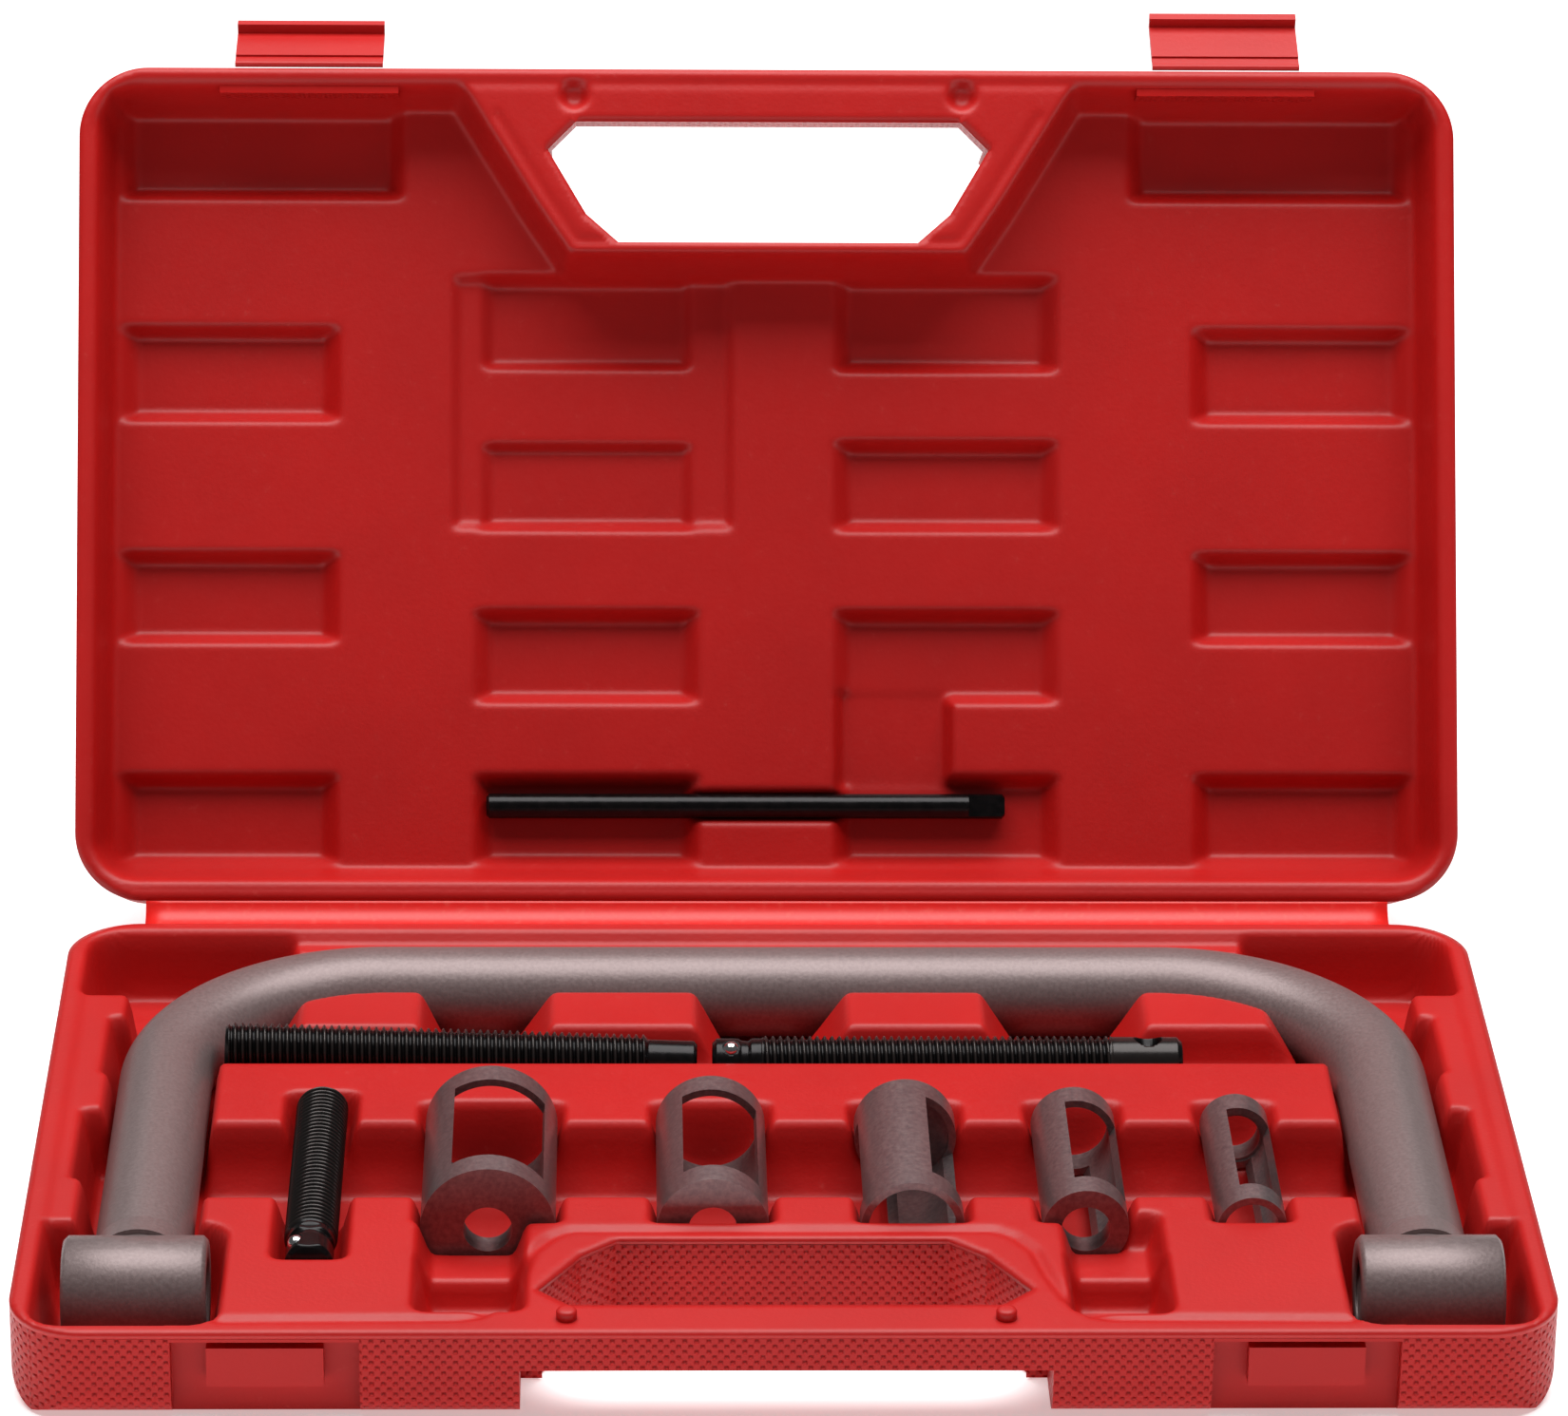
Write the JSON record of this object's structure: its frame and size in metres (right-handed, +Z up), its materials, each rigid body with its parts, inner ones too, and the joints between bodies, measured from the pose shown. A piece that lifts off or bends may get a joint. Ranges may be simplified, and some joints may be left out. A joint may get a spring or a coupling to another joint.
{
  "type": "valve_spring_compressor_kit",
  "caption": "Valve spring compressor kit: C-shaped clamp frame, threaded screws, windowed adapters and a tommy bar in a red blow-moulded carry case",
  "frame": {"origin": "centre of the flat underside of the case's base half", "axes": "+X to the right along the handle side, +Y from the handle towards the hinge, +Z up"},
  "size_m": [0.34, 0.3297, 0.2179],
  "materials": {
    "case_red": "satin blow-moulded polyethylene",
    "film_red": "thin bright hinge film",
    "frame_paint": "satin grey-brown coating",
    "adapter_coat": "satin grey-brown coating, worn bright at the edges",
    "black_oxide": "oiled black oxide",
    "ball_steel": "polished",
    "spring_steel": "bright wire"
  },
  "bodies": {
    "base": {"base_outer_wall": "case_red", "base_tray": "case_red", "base_hinge_strip": "film_red"},
    "lid": {"lid_outer_wall": "case_red", "lid_tray": "case_red", "lid_hinge_strip": "film_red"},
    "left_latch": {"latch_left": "case_red"},
    "right_latch": {"latch_right": "case_red"},
    "clamp_frame": {"frame_tube": "frame_paint", "bend_left": "frame_paint", "bend_right": "frame_paint", "leg_left": "frame_paint", "leg_right": "frame_paint", "boss_left": "frame_paint", "boss_right": "frame_paint", "weld_beads": "frame_paint"},
    "drive_screw_body": {"drive_screw": "black_oxide", "drive_screw_spring": "spring_steel"},
    "drive_ball": {"drive_screw_ball": "ball_steel"},
    "fixed_screw_body": {"fixed_screw": "black_oxide"},
    "short_screw_body": {"short_screw": "black_oxide", "short_screw_spring": "spring_steel"},
    "short_ball": {"short_screw_ball": "ball_steel"},
    "adapter_30_body": {"adapter_30": "adapter_coat"},
    "adapter_25_body": {"adapter_25": "adapter_coat"},
    "adapter_23_body": {"adapter_23": "adapter_coat"},
    "adapter_19_body": {"adapter_19": "adapter_coat"},
    "adapter_16_body": {"adapter_16": "adapter_coat"},
    "bar_body": {"tommy_bar": "black_oxide"}
  },
  "joints": [
    {"name": "lid_hinge", "type": "hinge", "parent": "base", "child": "lid", "pos_m": [0, 0.1066, 0.022], "axis": [-1, 0, 0], "range_deg": [-117.2, 0]},
    {"name": "left_latch_hinge", "type": "hinge", "parent": "lid", "child": "left_latch", "pos_m": [-0.1135, 0.20398, 0.20874], "axis": [1, 0, 0], "range_deg": [0, 144]},
    {"name": "right_latch_hinge", "type": "hinge", "parent": "lid", "child": "right_latch", "pos_m": [0.1135, 0.20398, 0.20874], "axis": [1, 0, 0], "range_deg": [0, 132]},
    {"name": "frame_lift", "type": "slide", "parent": "base", "child": "clamp_frame", "axis": [0, 0, 1], "range_m": [0, 0.06]},
    {"name": "drive_screw_lift", "type": "slide", "parent": "base", "child": "drive_screw_body", "axis": [0, 0, 1], "range_m": [0, 0.05]},
    {"name": "fixed_screw_lift", "type": "slide", "parent": "base", "child": "fixed_screw_body", "axis": [0, 0, 1], "range_m": [0, 0.05]},
    {"name": "short_screw_lift", "type": "slide", "parent": "base", "child": "short_screw_body", "axis": [0, 0, 1], "range_m": [0, 0.05]},
    {"name": "adapter_30_lift", "type": "slide", "parent": "base", "child": "adapter_30_body", "axis": [0, 0, 1], "range_m": [0, 0.045]},
    {"name": "adapter_25_lift", "type": "slide", "parent": "base", "child": "adapter_25_body", "axis": [0, 0, 1], "range_m": [0, 0.045]},
    {"name": "adapter_23_lift", "type": "slide", "parent": "base", "child": "adapter_23_body", "axis": [0, 0, 1], "range_m": [0, 0.045]},
    {"name": "adapter_19_lift", "type": "slide", "parent": "base", "child": "adapter_19_body", "axis": [0, 0, 1], "range_m": [0, 0.045]},
    {"name": "adapter_16_lift", "type": "slide", "parent": "base", "child": "adapter_16_body", "axis": [0, 0, 1], "range_m": [0, 0.045]},
    {"name": "bar_lift", "type": "slide", "parent": "lid", "child": "bar_body", "axis": [0, -0.8894, 0.4571], "range_m": [0, 0.04]},
    {"name": "drive_ball_press", "type": "slide", "parent": "drive_screw_body", "child": "drive_ball", "axis": [0, -0.4067, 0.9135], "range_m": [-0.0009, 0], "stiffness_N_per_m": 400, "springref_m": 0.0005, "deforming": ["drive_screw_spring"]},
    {"name": "short_ball_press", "type": "slide", "parent": "short_screw_body", "child": "short_ball", "axis": [-0.6691, 0, 0.7431], "range_m": [-0.0009, 0], "stiffness_N_per_m": 400, "springref_m": 0.0005, "deforming": ["short_screw_spring"]}
  ]
}
